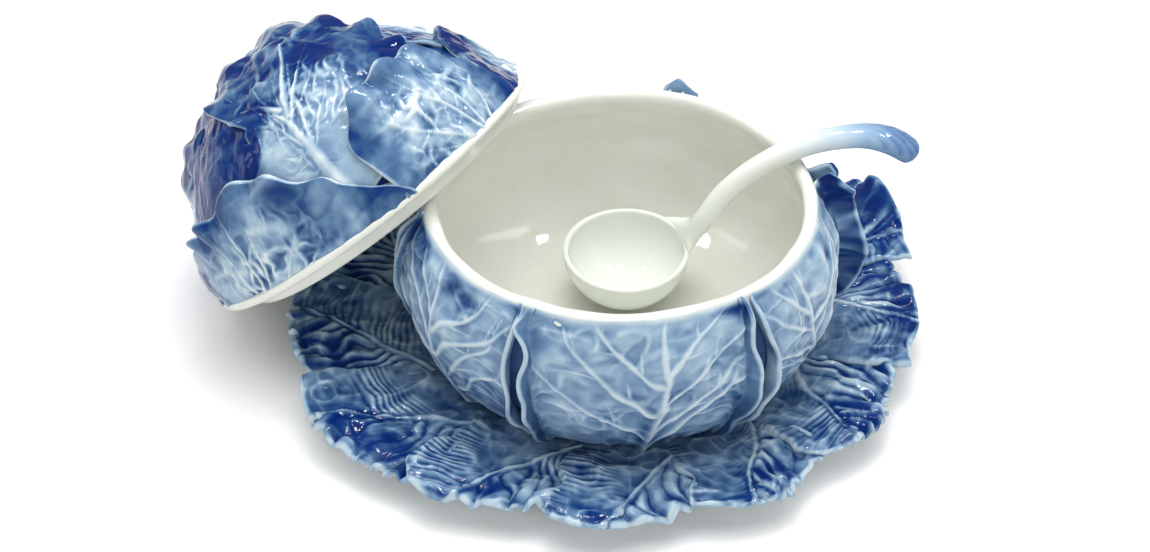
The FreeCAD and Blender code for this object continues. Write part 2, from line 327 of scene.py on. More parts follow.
def turned_point(radius, height, azimuth):
    """Points at a radius, a height and an azimuth in degrees."""
    angle = np.radians(azimuth)
    parts = np.broadcast_arrays(radius * np.cos(angle), radius * np.sin(angle), height)
    return np.stack(parts, axis=-1)


def turned(name, profile, place, glaze, steps):
    """A closed body turned about an axis. The profile runs from axis to axis, place() puts
    (radius, height, azimuth) into the scene and glaze() gives the colour there."""
    azimuth = np.linspace(0, 360, steps, endpoint=False)[None, :]
    radius, height = profile[1:-1, 0][:, None], profile[1:-1, 1][:, None]
    rings = place(radius, height, azimuth)
    zero = np.zeros((1, 1))
    tips = [place(zero, zero + profile[i, 1], zero)[0, 0] for i in (0, -1)]
    colour = np.broadcast_to(glaze(radius, height, azimuth), rings.shape[:2])
    return closed_tube(name, rings, tips, np.r_[colour.ravel(), colour[0, 0], colour[-1, 0]])


def pooled(relief, cell, narrow, wide):
    """How much glaze gathers: more in grooves and hollows, less on ridges."""
    close = blurred(relief, max(int(GROOVE_REACH / cell), 1)) - relief
    far = blurred(relief, max(int(HOLLOW_REACH / cell), 2)) - relief
    return narrow * close + wide * far


# --- Materials ---

def srgb(red, green, blue):
    """A linear colour from its usual 0-255 values."""
    parts = [value / 255.0 for value in (red, green, blue)]
    return tuple(v / 12.92 if v <= 0.04045 else ((v + 0.055) / 1.055) ** 2.4 for v in parts) + (1.0,)


LEAF_COLOURS = [
    (0.00, (222, 228, 225)), (0.10, (196, 210, 216)), (0.26, (157, 182, 201)), (0.43, (119, 148, 178)),
    (0.58, (83, 115, 152)), (0.73, (48, 80, 124)), (0.87, (16, 53, 117)), (1.00, (7, 36, 101)),
]
CREAM_COLOURS = [(0.0, (229, 232, 226)), (0.5, (216, 216, 201)), (1.0, (194, 193, 174))]
WHITE_COLOURS = [(0.0, (225, 229, 222)), (0.5, (219, 223, 214)), (1.0, (209, 212, 201))]
LADLE_COLOURS = [
    (0.00, (232, 235, 230)), (0.20, (196, 211, 222)), (0.42, (141, 171, 200)), (0.60, (99, 132, 172)),
    (0.80, (66, 98, 147)), (1.00, (36, 64, 116)),
]


def add_node(tree, kind, values, feeds, **settings):
    """A shader node with its settings, its set inputs and the outputs that feed the others."""
    node = tree.nodes.new("ShaderNode" + kind)
    for key, value in settings.items():
        setattr(node, key, value)
    for key, value in values.items():
        node.inputs[key].default_value = value
    for key, source in feeds.items():
        tree.links.new(source, node.inputs[key])
    return node


def glazed(name, colours, mottle, mottle_size, roughness, gloss_index, ripple):
    """Glossy glaze whose colour follows how thickly it has pooled, and the painted shade added to that value
    in places.
    """
    material = bpy.data.materials.new(name)
    material.use_nodes = True
    tree = material.node_tree
    tree.nodes.clear()
    place = {"Vector": add_node(tree, "TexCoord", {}, {}).outputs["Object"]}
    thickness = add_node(tree, "Attribute", {}, {}, attribute_name="glaze")
    cloud = add_node(tree, "TexNoise", {"Scale": 1.0 / mottle_size, "Detail": 5.0, "Roughness": 0.62}, place)
    mixed = add_node(tree, "Math", {1: mottle}, {0: cloud.outputs["Fac"], 2: thickness.outputs["Fac"]},
                     operation="MULTIPLY_ADD")
    centred = add_node(tree, "Math", {1: mottle * 0.5}, {0: mixed.outputs[0]}, operation="SUBTRACT")
    ramp = add_node(tree, "ValToRGB", {}, {"Fac": centred.outputs[0]})
    while len(ramp.color_ramp.elements) < len(colours):
        ramp.color_ramp.elements.new(0.5)
    for element, (position, colour) in zip(ramp.color_ramp.elements, colours):
        element.position = position
        element.color = srgb(*colour)
    patches = add_node(tree, "TexNoise", {"Scale": 45.0, "Detail": 2.0}, place)
    limits = {"From Min": 0.3, "From Max": 0.7, "To Min": roughness * 0.6, "To Max": roughness * 1.6}
    gloss = add_node(tree, "MapRange", limits, {"Value": patches.outputs["Fac"]})
    waves = add_node(tree, "TexNoise", {"Scale": 170.0, "Detail": 3.0}, place)
    bump = add_node(tree, "Bump", {"Strength": 1.0, "Distance": ripple}, {"Height": waves.outputs["Fac"]})
    feeds = {"Base Color": ramp.outputs["Color"], "Roughness": gloss.outputs["Result"],
             "Normal": bump.outputs["Normal"]}
    shader = add_node(tree, "BsdfPrincipled", {"IOR": gloss_index}, feeds)
    add_node(tree, "OutputMaterial", {}, {"Surface": shader.outputs[0]})
    return material


# colours, mottle and its size in metres, roughness, index of refraction, height of the ripples
GLAZES = {
    "stand_leaf_glaze": (LEAF_COLOURS, 0.26, 0.010, 0.11, 1.28, 0.00030),
    "bowl_leaf_glaze": (LEAF_COLOURS, 0.22, 0.012, 0.13, 1.28, 0.00030),
    "lid_leaf_glaze": (LEAF_COLOURS, 0.24, 0.010, 0.10, 1.26, 0.00034),
    "cream_glaze": (CREAM_COLOURS, 0.30, 0.030, 0.045, 1.45, 0.00022),
    "white_glaze": (WHITE_COLOURS, 0.20, 0.030, 0.045, 1.45, 0.00010),
    "ladle_glaze": (LADLE_COLOURS, 0.08, 0.020, 0.08, 1.36, 0.00014),
}
MATERIALS = {name: glazed(name, *look) for name, look in GLAZES.items()}


def fit(piece, body, slot, *nodes, material=None):
    """Ride on a CAD body, stand for its nodes and take the slot's glaze."""
    piece.data.materials.append(MATERIALS[material or slot])
    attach(piece, body)
    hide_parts(*nodes)


# --- Stand ---

STAND_CELL = 1.02
LEAF_START = 69.0
# where the tip lies across each leaf, and how much shorter the leaf is at its two sides
STAND_MARGINS = {
    1: (0.6, 0.02, 0.02), 2: (-0.15, 0.04, 0.13), 8: (-0.25, 0.03, 0.09), 9: (-0.7, 0.05, 0.13),
    10: (-0.6, 0.05, 0.12), 11: (-0.3, 0.06, 0.09), 12: (0.1, 0.05, 0.03),
}


def stand_height(radius):
    """Height of the stand leaves' underside."""
    inner = 9.6 + (radius - 86) * 8.0 / 82
    outer = 17.6 + (radius - 168) * 7.9 / 68
    return np.maximum(np.where(radius < 168, inner, outer), 8.2)


def stand_leaf(number, azimuth, tip, half, reach_low, reach_high):
    """A leaf whose midrib runs slantwise out to its tip: fine ridges lie on the inner side
    of the midrib and broad ribs on the outer side, each ending in a lobe of the margin."""
    rng = np.random.default_rng(40 + number)
    across = spread(-1, 1, 2 * half * math.radians(1) * tip, STAND_CELL)
    along = spread(0, 1, tip - LEAF_START, STAND_CELL)
    # s runs across the leaf and t from its root to its margin
    s, t = np.meshgrid(across, along)
    mark = np.array([number * 57.0, number * 13.0])    # sets each leaf's noise apart
    slant = math.radians(rng.uniform(34, 46))
    peak, low_drop, high_drop = STAND_MARGINS.get(number, (-0.4, 0.04, 0.07))
    shift = rng.uniform(-5, 5)
    fine_gap, broad_gap = rng.uniform(4.6, 6.2), rng.uniform(10, 13.5)
    lean = rng.uniform(0.95, 1.25)
    rib_middle = 82    # how far out the midrib crosses the leaf's middle line

    def pattern(x, y):
        """Distance from the midrib and the phase of the ridges that leave it."""
        warp_x = x + 6.0 * noise(flat(x + mark[0], y), 30.0, number)
        warp_y = y + 5.0 * noise(flat(x, y + mark[1]), 24.0, number + 1)
        rib_x, rib_y = warp_x - shift, warp_y - rib_middle
        off = rib_x * math.cos(slant) + rib_y * math.sin(slant) - 0.0022 * (warp_y - 60) ** 2
        up = rib_y * math.cos(slant) - rib_x * math.sin(slant) + 70
        gap = np.where(off < 0, fine_gap, broad_gap)
        wobble = 1.3 * noise(flat(x + mark[1], y), 30.0, number + 2)
        wobble += 0.5 * noise(flat(x, y + mark[1]), 13.0, number + 3)
        return off, up, (up - np.abs(off) ** 0.94 * lean) / gap + wobble

    side = np.where(s < 0, reach_low, reach_high)
    below, above = (peak - s) / (1 + peak), (s - peak) / (1 - peak)
    low_drop *= np.maximum(below, 0) ** 1.8
    drop = np.where(s < peak, low_drop, high_drop * np.maximum(above, 0) ** 1.3)
    margin = tip * ((1.015 if number > 7 else 0.99) - drop)
    _, _, edge_phase = pattern(margin * np.radians(s * side), margin - LEAF_START)
    lobe = np.abs(np.sin(math.pi * edge_phase * 0.6)) ** 0.8
    margin += np.where(s < peak, 1.1, 2.6 if number == 2 else 4.0) * (lobe - 0.6)
    margin += 3.4 * noise(flat(s * 40, mark[0]), 14.0, number)
    radius = LEAF_START + (margin - LEAF_START) * t
    wander = 1.5 * noise(flat(radius, mark[1]), 11.0, number + 3)
    wander += 1.2 * noise(flat(radius, 0), 26.0, number)
    angle = azimuth + s * side + wander * ease(radius, 105, 140) * s ** 4 * np.where(s < 0, 1.0, 0.6)
    x = radius * np.radians(angle - azimuth)
    y = radius - LEAF_START
    off, up, phase = pattern(x, y)
    broad = np.abs(np.sin(math.pi * phase)) ** 0.85
    fine = np.abs(np.sin(math.pi * phase)) ** 1.1
    near_rib = ease(np.abs(off), 0.8, 4.5)
    low_half = 0.8 + 0.5 * noise(flat(x + mark[1], y), 30.0, number + 8)
    strength = near_rib * ease(up, 0, 45) * (0.30 + 0.70 * ease(t, 0.30, 0.72))
    strength *= (1 - 0.6 * ease(t, 0.86, 1.0))
    places = ease(noise(flat(x + mark[1], y + mark[0]), 34.0, number + 9), -0.25, 0.45)
    inner_side = 1.05 * fine * low_half * (0.08 + 0.92 * places)
    outer_side = 2.2 * broad * (0.55 + 0.45 * places)
    relief = strength * np.where(off < 0, inner_side, outer_side)
    split = np.abs(np.sin(math.pi * (phase * 2.0 + 0.5))) ** 0.8
    relief += np.where(off < 0, 0, 0.35 * strength * split * places)
    rib_width = np.clip(3.0 - 0.02 * up, 1.2, 3.0)
    relief += 1.3 * np.exp(-(off / rib_width) ** 2) * ease(up, -10, 20)
    relief += 1.7 * layered(flat(x, y + mark[0]), 21.0, 3, number + 2)
    relief += 0.9 * creases(x, y, 15.0, number)
    ruffle = np.where(off < 0, 0.3, 1.0) * np.sin(phase * math.pi + number)
    ruffle += 0.9 * noise(flat(x, y + mark[0]), 24.0, number + 6)
    height = stand_height(radius) + 2.2 + 2.4 * ruffle * ease(t, 0.74, 1.0)
    height = height - 1.7 * s * ease(radius, 96, 140) + 2.0 * ease(-s, 0.6, 1.0) * ease(t, 0.5, 0.85)
    height -= 1.4 * ease(95 - radius, 0, 20)
    if number == 2:
        height += 19 * ease(t, 0.80, 1.0) ** 1.5 * np.exp(-((s + 0.1) / 0.42) ** 2)
    surface = turned_point(radius, height, angle)
    away = edge_distance(surface)
    pool = pooled(relief, STAND_CELL, 0.46, 0.22)
    cloud = layered(flat(x + mark[0], y + mark[1]), 27.0, 3, number + 4)
    # the last term darkens the roots under the bowl's overhang: painted shade
    glaze = 0.51 + pool + 0.08 * cloud + 0.08 * ease(t, 0.60, 0.9) + 0.10 * (1 - ease(t, 0.25, 0.5))
    glaze += 0.24 * ease(cloud + 0.25 * np.sign(off), 0.15, 0.75) * ease(t, 0.55, 0.85)
    glaze -= 0.07 * np.exp(-(off / rib_width) ** 2) * ease(up, 0, 30)
    glaze -= 0.40 * (1 - ease(away, 0.6, 3.2)) * ease(t, 0.5, 0.8)
    under = 0.04 + 0.3 * (1 - ease(away, 1.0, 6.0))
    name = "stand_leaf_%02d_glazed" % number
    piece = sheet(name, surface, STAND_LEAF_THICKNESS, relief, np.clip(glaze, 0.18, 1.0), under, -1)
    fit(piece, "stand", "stand_leaf_glaze", "stand_leaf_%02d" % number)


def stand_leaves():
    """Every leaf reaches just past the middle of the space to each neighbour."""
    count = len(STAND_LEAVES)
    for i, (azimuth, tip, half) in enumerate(STAND_LEAVES):
        before = (azimuth - STAND_LEAVES[i - 1][0]) % 360
        after = (STAND_LEAVES[(i + 1) % count][0] - azimuth) % 360
        stand_leaf(i + 1, azimuth, tip, half, before / 2 + 3.0, after / 2 + 1.5)


def stand_dish():
    """The dish that carries the leaves: blue well on top, pale foot underneath."""
    outline = [
        (0, 2.2), (60, 2.2), (67, 1.8), (68.5, 0.2), (71, 0), (73.5, 0.2), (78, 3.6), (110, 6.6),
        (150, 10.4), (164, 12.6), (167.6, 14.8), (167, 16.8), (150, 15.6), (110, 11.8), (88, 9.5),
        (80, 8.9), (60, 8.9), (0, 8.9),
    ]

    def colour(radius, height, azimuth):
        top = height > np.where(radius > 80, 8.9 + (radius - 80) * 0.088 - 2.0, 6.0)
        return np.where(top, 0.62, 0.02)

    piece = turned("stand_dish_glazed", smooth_path(outline, 260), turned_point, colour, 240)
    fit(piece, "stand", "cream_glaze", "stand_dish", material="stand_leaf_glaze")


# --- Bowl ---

# azimuth of the wall's last strip before and after each seam, depth of the turned edge,
# its lower and upper height, how far it rises over the rim and how far it sways
BOWL_SEAMS = [
    (3.0, 17.5, 20, 52, 139, 6, 8), (69, 75, 6, 60, 116, 0, 2), (125, 133, 9, 24, 126, 0, 3),
    (181, 188, 8, 24, 126, 0, 3), (239.0, 247.0, 11, 16, 131, 0, 4), (302.5, 311.0, 11.5, 16, 131, 0, 4),
]
WALL = smooth_path(WALL_OUTSIDE + [(118.8, 126.5), (117.6, 130.5)], 400)


def wall_at(height):
    """Radius of the bowl's outside and its outward direction (radial, up) at a height."""
    run = unit(np.gradient(WALL, axis=0))
    return [np.interp(height, WALL[:, 1], column) for column in (WALL[:, 0], run[:, 1], -run[:, 0])]


def rim_sway(azimuth, height):
    """How far the bowl's rim strays outwards and upwards from an even circle."""
    ring = turned_point(60, 0, azimuth)
    rim = ease(height, 96, 128)
    return 1.9 * noise(ring, 36.0, 3) * rim, (0.8 * noise(ring, 34.0, 8) - 0.4) * rim


def bowl_leaf(number):
    """A leaf that wraps the belly. Both edges turn out as wavy upright fins, and its lower
    edge hangs in soft points."""
    before, after = BOWL_SEAMS[number - 1], BOWL_SEAMS[number % 6]
    cell = 0.95 if number in (5, 6) else 1.15
    start, end = before[1], after[0] + (360 if after[0] < before[1] else 0)
    turn_mm = math.radians(1) * BELLY_RADIUS
    leaf_tall = 128.0
    middle, half = (start + end) / 2, (end - start) / 2 * turn_mm
    mark = number * 71.0
    fin_low, fin_high = (np.r_[1, 0.98, 0.94, np.linspace(0.89, 0.03, int((seam[2] + 5) / cell))]
                         for seam in (before, after))
    body = np.linspace(-1, 1, int(2 * half / cell))
    # c runs across, with the turned edges past -1 and 1, q out along an edge and t upwards
    c, t = np.meshgrid(np.r_[-1 - fin_low, body, 1 + fin_high[::-1]], spread(0, 1, leaf_tall, cell))
    inside = np.clip(c, -1, 1)
    q = np.maximum(np.abs(c) - 1, 0)
    side = np.sign(c)
    depth, low_end, high_end, rising, swaying = (np.where(c < 0, before[i], after[i]) for i in range(2, 7))
    gap = np.where(c < 0, before[1] - before[0], after[1] - after[0]) * turn_mm * 0.5
    rib_foot = {5: 0.10, 6: -0.05}.get(number, 0.06)
    point = np.exp(-((inside - rib_foot) / 0.10) ** 2) + np.exp(-((np.abs(inside) - 1) / 0.07) ** 2)
    low = 35.0 - 10.0 * point + 2.0 * noise(flat(inside * half + mark, 0), 17.0, number)
    high = 130.0 + 0.7 * noise(flat(inside * half, mark), 24.0, number)
    height = low + (high - low) * t
    radius, out_r, out_z = wall_at(height)
    # the leaf's sides close in on the seam under the rim
    closing = 0.42 * gap * ease(height, 98, 124) * np.abs(inside) ** 6
    wander = 1.6 * noise(flat(height, mark + side * 40), 30.0, number + 1) * np.abs(inside) ** 6
    x = inside * half + side * (closing + wander)
    y = t * leaf_tall
    sway = noise(flat(height, mark + side * 9), 15.0, number)
    sway += 0.6 * noise(flat(height, side * 7), 32.0, number)
    wave = noise(flat(height + mark, side * 5.0), 20.0, number + 5)
    wave += 0.5 * noise(flat(height, side * 5.0), 9.0, number)
    deep = ease(depth, 15, 24)
    arch = ease(height, low_end - 12, low_end + 14 + 20 * deep)
    arch *= (1 - ease(height, high_end - 16, high_end + 1))
    reach = depth * (0.90 + (0.24 + 0.14 * deep) * wave) * np.sqrt(np.maximum(arch, 0))
    run = q * np.maximum(reach, 0.8) * 1.2
    bend, turn_radius = math.radians(80), 3.0
    on_arc = np.minimum(run, turn_radius * bend)
    rest = run - on_arc
    lateral = turn_radius * np.sin(on_arc / turn_radius) + rest * math.cos(bend)
    outward = turn_radius * (1 - np.cos(on_arc / turn_radius)) + rest * math.sin(bend)
    lateral += q ** 1.5 * sway * np.minimum(swaying, 0.4 * reach)
    # deep edges cup forwards at their crest
    cup = deep * q ** 2.2 * 10.0 * np.sin(math.pi * arch * 0.5) * (1 + 0.35 * sway)
    lateral -= np.where(c > 0, 1.0, -0.6) * cup
    outward -= 0.45 * cup
    rise = rising * q * ease(height, 90, 126) * (1 + 0.3 * sway)
    # veins, folds and dents
    root = (half * rib_foot, 4)
    if number == 5:
        paths = feather(511, vein(root, 6, 126, -4, 3.8, 14), 50, 7, 118, 2.6)
    else:
        midrib = vein(root, 6 - 2 * number, 122, 8 - 3 * number, 3.4, 14)
        paths = feather(500 + 7 * number, midrib, 52, 8, 124, 2.5)
    bent_x = x + 4.5 * layered(flat(x + mark, y), 34.0, 2, number)
    bent_y = y + 4.5 * layered(flat(x, y + mark), 34.0, 2, number + 30)
    veins = ridges(bent_x, bent_y, paths)
    dents = crinkle(x, y, (root[0], -60), 12.0, number + 2)
    lumps = layered(flat(x + mark, y * 1.2), 27.0, 3, number + 11)
    folds = creases(x * 0.8 + mark, y, 21.0, number + 17)
    relief = 0.85 * veins + 0.8 * dents * (1 - 0.6 * ease(veins, 0.2, 0.8))
    relief += 1.4 * lumps + 0.9 * folds
    on_fin = ease(q, 0, 0.25)
    flutes = (0.8 + 1.3 * deep) * layered(flat(q * reach * 0.5 + mark, height * 1.5), 11.0, 2, number + 23)
    relief *= (1 - ease(t, 0.90, 0.99)) * (1 - 0.85 * on_fin)
    relief += 1.3 * flutes * on_fin * ease(depth, 9, 20)
    thickness = BOWL_LEAF_THICKNESS - 2.2 * ease(t, 0.86, 1.0) * (1 - on_fin)
    hang = 10.0 * (1 - ease(t, -0.08, 0.30)) * (0.55 + 0.45 * point)
    offset = 0.5 * thickness - 0.6 + hang * (1 - 0.6 * np.minimum(q * 3, 1)) + outward
    azimuth = middle + (x + side * (q > 0) * lateral) / turn_mm
    sway_out, sway_up = rim_sway(azimuth, height)
    radius += out_r * offset + sway_out
    z = height + out_z * offset * 0.8 + rise + sway_up
    surface = turned_point(radius, z, azimuth) + BOWL_CENTRE
    # glaze, with painted shade on the lower belly
    pool = pooled(relief, cell, 0.29, 0.18)
    cloud = layered(flat(x + mark, y), 34.0, 3, number + 21)
    # the 0.18 term darkens the leaves towards the bottom of the belly: painted shade
    glaze = 0.34 + 0.18 * (1 - ease(height, 26, 84)) + pool + 0.07 * cloud - 0.05 * ease(veins, 0.3, 1.6)
    glaze += 0.15 * ease(np.abs(inside), 0.74, 1.0) + (0.10 + 0.22 * deep) * ease(q, 0, 0.4)
    glaze += 0.34 * ease(cloud + 0.5 * np.abs(inside) ** 8, 0.25, 0.8) * ease(height, 104, 120)
    away = edge_distance(surface)
    glaze -= 0.36 * (1 - ease(away, 0.5, 2.6)) * (1 - ease(t, 0.93, 0.99))
    keeps_colour = ease(q, 0.1, 0.4) * (0.5 + 0.5 * ease(depth, 12, 20))
    fade = 1 - ease(height + 1.6 * cloud, 125, 130.5) * (1 - keeps_colour)
    glaze = np.clip(glaze, 0.12, 1) * fade
    under = 0.46 + 0.18 * deep + 0.16 * layered(flat(height, c * 10 + mark), 14.0, 2, number)
    under = np.clip(under - 0.3 * (1 - ease(away, 0.5, 3.0)), 0.2, 0.8)
    piece = sheet("bowl_leaf_%02d_glazed" % number, surface, thickness, relief, glaze, under)
    fit(piece, "bowl", "bowl_leaf_glaze", "bowl_leaf_%02d" % number)


def bowl_back_curl():
    """A leaf tip at the back that rises over the rim and curls outwards."""
    u, v = np.meshgrid(spread(-1, 1, 30, 0.9), spread(0, 1, 42, 0.9))
    top = 134.5 - 12 * np.abs(u) ** 2.0 + 1.4 * noise(flat(u * 14, 5), 7.0, 3)
    height = 98 + (top - 98) * v
    waves = noise(flat(u * 16, v * 14), 8.0, 12)
    off = 3.6 + 7.0 * ease(v, 0.62, 1.05) ** 1.3 + 5.0 * ease(v, 0.3, 0.9) * u ** 4
    off += 2.6 * waves * ease(v, 0.4, 0.9)
    azimuth = 72 + np.degrees(u * (17 - 8.0 * v ** 2) / BELLY_RADIUS)
    surface = turned_point(wall_at(height)[0] + off, height, azimuth) + BOWL_CENTRE
    relief = 0.9 * layered(flat(u * 15, v * 30), 9.0, 3, 8) + 0.6 * creases(u * 15, v * 40, 10.0, 4)
    glaze = 0.40 + 0.25 * layered(flat(u * 15, v * 42), 13.0, 3, 9) + pooled(relief, 0.9, 0.4, 0.2)
    glaze -= 0.3 * (1 - ease(edge_distance(surface), 0.4, 2.4))
    glaze = np.clip(glaze, 0.1, 0.9)
    piece = sheet("bowl_back_curl", surface, BOWL_LEAF_THICKNESS, relief, glaze, 0.45)
    fit(piece, "bowl", "bowl_leaf_glaze", "bowl_leaf_01")


def bowl_skin():
    """A thin blue coat on the wall under the leaves."""
    outer = [(r + 0.35, z) for r, z in WALL_OUTSIDE if z < 118] + [(121.8, 118)]
    inner = [(r - 1.6, z) for r, z in reversed(outer)]
    profile = smooth_path([(0, 14.2), (60, 14.2)] + outer + inner + [(60, 16), (0, 16)], 260)

    def place(radius, height, azimuth):
        return turned_point(radius, height, azimuth) + BOWL_CENTRE

    def colour(radius, height, azimuth):
        return 0.74 * (1 - ease(height, 112, 119)) + 0.05 * np.sin(np.radians(azimuth * 9))

    piece = turned("bowl_skin", profile, place, colour, 240)
    fit(piece, "bowl", "bowl_leaf_glaze", "bowl_wall")


def bowl_body():
    """Foot ring, wall and rolled rim; the inside is smooth cream with slight unevenness, painted darker
    towards the bottom as shade.
    """
    outline = [(0, 15), (50, 15), (55, 14.6), (56.8, 10), (58, 9.05), (60, 9), (62, 9.05), (63.5, 10)]
    outline += WALL_OUTSIDE + [(119, 126), (117.8, 129.6), (114.4, 131.5), (111.0, 129.8), (110, 126)]
    outline += WALL_INSIDE + [(30, 25.8), (0, 25.6)]

    def place(radius, height, azimuth):
        ring = turned_point(60, height, azimuth)
        wobble, lift = rim_sway(azimuth, height)
        inside = (radius < wall_at(height)[0] - 3) * ease(height, 25, 40)
        uneven = noise(ring, 24.0, 5) + 1.1 * noise(ring, 13.0, 6) + 0.22 * noise(ring, 6.0, 7)
        radius = np.maximum(radius + wobble + inside * uneven, 0)
        return turned_point(radius, height + lift, azimuth) + BOWL_CENTRE

    def colour(radius, height, azimuth):
        inside = radius < wall_at(height)[0] - 6
        # the inside is painted darker and warmer than the rim, most deeply low down: painted shade in the
        # bowl's hollow
        return np.where(inside, 0.18 - 0.10 * ease(height, 112, 127), 0.04)

    piece = turned("bowl_body", smooth_path(outline, 340), place, colour, 285)
    bowl_skin()
    fit(piece, "bowl", "cream_glaze", "bowl_wall")


# --- Lid ---

LID_UP = unit(LID_AXIS)
LID_LEVEL = unit(np.cross([0, 0, 1.0], LID_UP))
LID_TURN = np.stack([LID_LEVEL, np.cross(LID_UP, LID_LEVEL), LID_UP])


def on_lid(local):
    """Points of the lid's own frame, placed where the lid leans."""
    return LID_CENTRE + local @ LID_TURN


def direction(azimuth, angle):
    """The way out from the dome's middle at an azimuth and an angle above the flange."""
    angle = np.radians(angle)
    return turned_point(np.cos(angle), np.sin(angle), azimuth)


def flattened(towards):
    """How much closer the dome lies on the side that is pressed flatter."""
    return 1 - 0.14 * ease(unit(towards) @ direction(134.5, 37), 0.60, 0.98)


def chart(azimuth, angle):
    """A map of the dome about one place: degrees right and up from it give directions."""
    middle = direction(azimuth, angle)
    right = direction(azimuth + 90, 0)
    up = np.cross(middle, right)

    def there(x, y):
        away = np.radians(np.hypot(x, y))[..., None]
        heading = unit(x[..., None] * right + y[..., None] * up)
        return np.cos(away) * middle + np.sin(away) * heading
    return there


def lid_leaf(name, node, number, azimuth, low, wide, tall, outline, lift, ruffle, waves,
             vein_fans, dark=0.5, round_leaf=None, tilt=0.0, cell=1.0, patches=0.3, base=0.31,
             smooth=0.0, core=(0, 0), quiet=0.3):
    """A leaf on the dome. wide and tall are its half width and height in degrees, outline
    scales its margin from its right side round to its left, lift is how far the margin
    stands off the dome, smooth is how much its veins are lost under the glaze, core is where
    the leaf is palest and quiet is how far up its sides a low leaf has no waves. Low leaves
    stand on the flange; round_leaf is the chart of a leaf that lies higher on the dome."""
    wide_mm, tall_mm = wide * DOME_DEGREE, tall * DOME_DEGREE
    rows = spread(-1, 1, 2 * tall_mm, cell) if round_leaf else spread(0, 1, tall_mm, cell)
    s, t = np.meshgrid(spread(-1, 1, 2 * wide_mm, cell), rows)
    x, y = s * np.sqrt(1 - t * t / 2), t * np.sqrt(1 - s * s / 2)
    out = np.hypot(x, y)
    from_core = np.hypot(x - core[0], y - core[1])
    heading = np.degrees(np.arctan2(y, x)) % 360
    shape = around(outline, heading, 360 if round_leaf else 180)
    mark = number * 83.0
    rim = ease(out, 0.5, 1.0)
    ring = turned_point(60, 0, heading) + (mark, 0, 0)
    edge_mm = 0.5 * (wide_mm + tall_mm) * np.radians(heading)
    phase = edge_mm * math.pi / waves + 1.4 * noise(flat(edge_mm, mark), 26.0, number)
    curl = np.sin(phase) + 0.5 * noise(flat(edge_mm + mark, out * 10), 12.0, number + 4)
    calm = 1.0 if round_leaf else 0.12 + 0.88 * ease(np.sin(np.radians(heading)), quiet, quiet + 0.3)
    scallop = calm * (0.020 * layered(ring, 24.0, 2, number) + 0.010 * ruffle * np.sin(phase))
    shape *= (1 + scallop * rim)
    x, y = x * wide * shape, y * tall * shape
    x_mm, y_mm = x * DOME_DEGREE, y * DOME_DEGREE
    free = ease(t, -0.45, 0.25) if round_leaf else ease(t, 0.0, 0.35)
    stand_off = lift * (0.4 + 0.6 * calm) * out ** 3 + ruffle * calm * curl * ease(out, 0.62, 1.0) ** 1.3
    stand_off += tilt * x / wide * ease(out, 0.3, 1)
    swell = layered(flat(x_mm + mark, y_mm), 30.0, 2, number + 6) * ease(out, 0.15, 0.7)
    stand_off += 2.0 * (0.2 + 0.8 * calm) * swell
    if round_leaf:
        towards = round_leaf(x, y)
        stand_off = 0.4 + (stand_off + 1.4) * free
    else:
        towards = direction(azimuth + x, low + y)
        stand_off = 2.7 + stand_off * (0.35 + 0.65 * free)
    stand_off = np.maximum(stand_off, 0.6)
    surface = on_lid(towards * (DOME * flattened(towards)[..., None] + stand_off[..., None]))
    bent_x = x_mm + 3.0 * layered(flat(x_mm + mark, y_mm), 30.0, 2, number)
    bent_y = y_mm + 3.0 * layered(flat(x_mm, y_mm + mark), 30.0, 2, number + 30)
    veins = ridges(bent_x, bent_y, [path for item in vein_fans for path in item])
    root = vein_fans[-1][0][0][:2]
    dents = crinkle(x_mm, y_mm, (root[0], root[1] - 25), 9.5, number + 2)
    lumps = layered(flat(x_mm + mark, y_mm), 21.0, 3, number + 11)
    folds = np.abs(np.sin(phase * 0.5 + 0.8)) ** 0.7 * ease(out, 0.55, 0.95)
    inner = 1 - ease(out, 0.60, 0.88)
    relief = 1.05 * veins + 1.3 * dents * (0.12 + 0.88 * inner) * (1 - 0.7 * ease(veins, 0.2, 0.8))
    relief *= (1 - smooth) * (1 - 0.6 * (1 - calm) * ease(out, 0.45, 0.9))
    relief += 1.5 * lumps + 0.7 * folds
    relief += 0.6 * creases(x_mm + mark, y_mm, 17.0, number + 13)
    relief *= (1 - 0.5 * (1 - calm) * ease(out, 0.6, 1.0))
    if round_leaf:
        relief *= (0.35 + 0.65 * free)
    pool = pooled(relief, cell, 0.46, 0.24)
    cloud = layered(flat(x_mm + mark, y_mm + mark), 26.0, 3, number + 21)
    away = edge_distance(surface)
    if not round_leaf:
        away = np.where(t < 0.5, np.maximum(away, 9 * (1 - ease(np.abs(s), 0.8, 1.0))), away)
    glaze = base + dark * ease(from_core + 0.12 * cloud, 0.34, 0.80) + pool * (1 - 0.35 * rim) + 0.07 * cloud
    glaze -= 0.10 * (1 - smooth) * ease(veins, 0.25, 0.9)
    glaze += patches * ease(cloud, 0.10, 0.55) * ease(from_core, 0.55, 0.8)
    glaze -= 0.45 * (1 - ease(away, 0.5, 2.6)) * ease(out, 0.75, 0.95)
    under = 0.80 + 0.28 * layered(flat(x_mm, y_mm + mark), 11.0, 3, number + 40)
    under = np.clip(under - 0.5 * (1 - ease(away, 1.0, 5.0)), 0.15, 1)
    piece = sheet(name, surface, LID_LEAF_THICKNESS, relief, np.clip(glaze, 0.05, 1), under)
    fit(piece, "lid", "lid_leaf_glaze", node)


